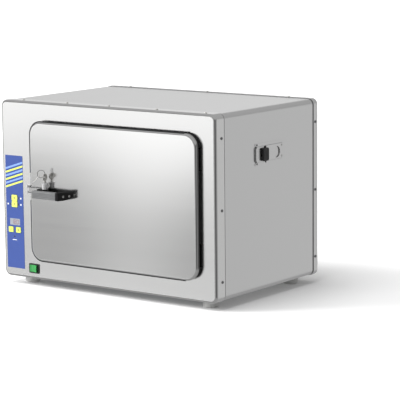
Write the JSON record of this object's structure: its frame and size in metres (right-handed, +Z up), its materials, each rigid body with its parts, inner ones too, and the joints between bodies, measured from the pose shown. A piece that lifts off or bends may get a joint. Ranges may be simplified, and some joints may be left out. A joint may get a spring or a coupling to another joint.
{
  "type": "dry heat sterilizer",
  "caption": "Bench dry heat sterilizer in brushed stainless: flat control strip beside a side-hinged door with a locking pull handle, vent slide on the right, round feet.",
  "frame": {"origin": "on the bench, below the middle of the casing's width and depth (door, handle and knob not counted)", "axes": "+X to the right of someone facing the door, -Y from the door to that person, +Z up"},
  "size_m": [0.6151, 0.455, 0.4237],
  "materials": {
    "stainless": "satin",
    "stainless_door": "satin",
    "liner_steel": "satin",
    "zinc_steel": "satin",
    "screw_steel": "gloss",
    "lock_chrome": "polished",
    "key_nickel": "satin",
    "foot_rubber": "matte",
    "gasket_rubber": "matte",
    "wool": "matte",
    "mica": "matte",
    "bush_ceramic": "satin",
    "probe_steel": "satin",
    "cutout_body": "matte",
    "knob_black": "satin",
    "magnet_grey": "matte",
    "grip_grey": "satin",
    "handle_black": "satin",
    "film_blue": "satin",
    "key_yellow": "satin",
    "display_grey": "gloss",
    "display_black": "matte",
    "led_dark": "gloss",
    "board_green": "satin",
    "switch_black": "satin",
    "rocker_green": "gloss",
    "inlet_black": "matte"
  },
  "bodies": {
    "case": {"casing_wrap": "stainless", "base_plate": "zinc_steel", "front_panel": "stainless", "back_panel": "stainless", "flange_screws": "screw_steel", "feet": "foot_rubber", "foot_screws": "screw_steel", "chamber": "liner_steel", "left_rack": "liner_steel", "right_rack": "liner_steel", "lower_heater": "mica", "upper_heater": "mica", "heater_bushes": "bush_ceramic", "insulation": "wool", "support_rails": "zinc_steel", "bulkhead": "zinc_steel", "temperature_probe": "probe_steel", "safety_thermostat": "cutout_body", "vent_tube": "liner_steel", "vent_guide_plate": "stainless", "vent_rivets": "screw_steel", "door_catches": "magnet_grey", "hinge_panel_leaves": "zinc_steel", "hinge_panel_screws": "screw_steel", "hinge_pins": "screw_steel", "bolt_keeper": "key_nickel", "control_film": "film_blue", "display_lens": "display_grey", "display_module": "display_black", "status_leds": "led_dark", "control_board": "board_green", "switch_body": "switch_black", "power_board": "board_green", "power_inlet": "inlet_black"},
    "door": {"door_outer_skin": "stainless_door", "door_inner_liner": "liner_steel", "door_insulation": "wool", "door_gasket": "gasket_rubber", "hinge_door_leaves": "zinc_steel", "hinge_door_screws": "screw_steel", "handle_grip": "grip_grey", "handle_right_leg": "handle_black", "handle_screws": "screw_steel", "handle_lock_leg": "handle_black", "lock_barrel": "lock_chrome", "bolt_sleeve": "key_nickel"},
    "lock": {"lock_plug": "lock_chrome", "door_key": "key_nickel"},
    "bolt": {"lock_bolt": "lock_chrome"},
    "ring": {"key_ring": "key_nickel", "spare_key": "key_nickel"},
    "rocker": {"power_rocker": "rocker_green"},
    "upper_button": {"upper_key": "key_yellow"},
    "lower_button": {"lower_key": "key_yellow"},
    "minus_button": {"minus_key": "key_yellow"},
    "plus_button": {"plus_key": "key_yellow"},
    "shutter": {"vent_shutter": "stainless", "vent_knob": "knob_black"},
    "tray_low": {"lower_tray": "liner_steel"},
    "tray_high": {"upper_tray": "liner_steel"}
  },
  "joints": [
    {"name": "door_swing", "type": "hinge", "parent": "case", "child": "door", "pos_m": [0.257, -0.2026, 0.221], "axis": [0, 0, 1], "range_deg": [0, 100]},
    {"name": "key_turn", "type": "hinge", "parent": "door", "child": "lock", "pos_m": [-0.15, -0.2245, 0.231], "axis": [0, 0, 1], "range_deg": [0, 90]},
    {"name": "bolt_slide", "type": "slide", "parent": "door", "child": "bolt", "axis": [-1, 0, 0], "range_m": [0, 0.012]},
    {"name": "ring_swing", "type": "hinge", "parent": "lock", "child": "ring", "pos_m": [-0.15, -0.22845, 0.25934], "axis": [-0.592, 0.8059, 0], "range_deg": [0, 20]},
    {"name": "rocker_rock", "type": "hinge", "parent": "case", "child": "rocker", "pos_m": [-0.20975, -0.195, 0.041], "axis": [0, 0, 1], "range_deg": [0, 14]},
    {"name": "vent_slide", "type": "slide", "parent": "case", "child": "shutter", "axis": [0, -1, 0], "range_m": [-0.004, 0.015]},
    {"name": "lower_tray_slide", "type": "slide", "parent": "case", "child": "tray_low", "axis": [0, -1, 0], "range_m": [0, 0.014]},
    {"name": "upper_tray_slide", "type": "slide", "parent": "case", "child": "tray_high", "axis": [0, -1, 0], "range_m": [0, 0.014]},
    {"name": "upper_press", "type": "slide", "parent": "case", "child": "upper_button", "axis": [0, 1, 0], "range_m": [0, 0.0005], "stiffness_N_per_m": 1500},
    {"name": "lower_press", "type": "slide", "parent": "case", "child": "lower_button", "axis": [0, 1, 0], "range_m": [0, 0.0005], "stiffness_N_per_m": 1500},
    {"name": "minus_press", "type": "slide", "parent": "case", "child": "minus_button", "axis": [0, 1, 0], "range_m": [0, 0.0005], "stiffness_N_per_m": 1500},
    {"name": "plus_press", "type": "slide", "parent": "case", "child": "plus_button", "axis": [0, 1, 0], "range_m": [0, 0.0005], "stiffness_N_per_m": 1500}
  ],
  "couplings": [
    {"joint": "key_turn", "follows": "bolt_slide", "rad_per_m": 130.8}
  ]
}
